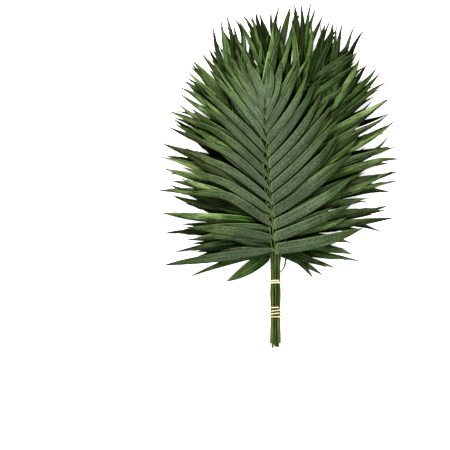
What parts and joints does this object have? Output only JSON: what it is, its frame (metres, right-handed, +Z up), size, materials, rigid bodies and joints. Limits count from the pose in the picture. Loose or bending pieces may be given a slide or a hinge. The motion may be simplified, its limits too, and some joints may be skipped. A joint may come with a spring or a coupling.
{
  "type": "chamaedorea palm leaf bunch",
  "caption": "Tied bunch of feather-shaped palm fronds lying flat, the stems held in a tight bundle by cream ties and the leaflets fanned over each other in an oval.",
  "frame": {"origin": "on the table, in the middle of the flat underside of the upper tie's first turn", "axes": "+Y from the cut stem ends to the leaf tips, +X to the right seen from above, +Z up from the table"},
  "size_m": [0.4393, 0.5913, 0.0415],
  "materials": {
    "leaf": "satin green leaf with fine parallel veins, paler glossy stalk",
    "tie": "pale cream band, matt"
  },
  "bodies": {
    "root": {"frond_01": "leaf", "frond_02": "leaf", "frond_03": "leaf", "frond_04": "leaf", "frond_05": "leaf", "frond_06": "leaf", "frond_07": "leaf", "frond_08": "leaf", "frond_09": "leaf", "frond_10": "leaf", "tie_upper": "tie", "tie_lower": "tie"}
  },
  "joints": []
}
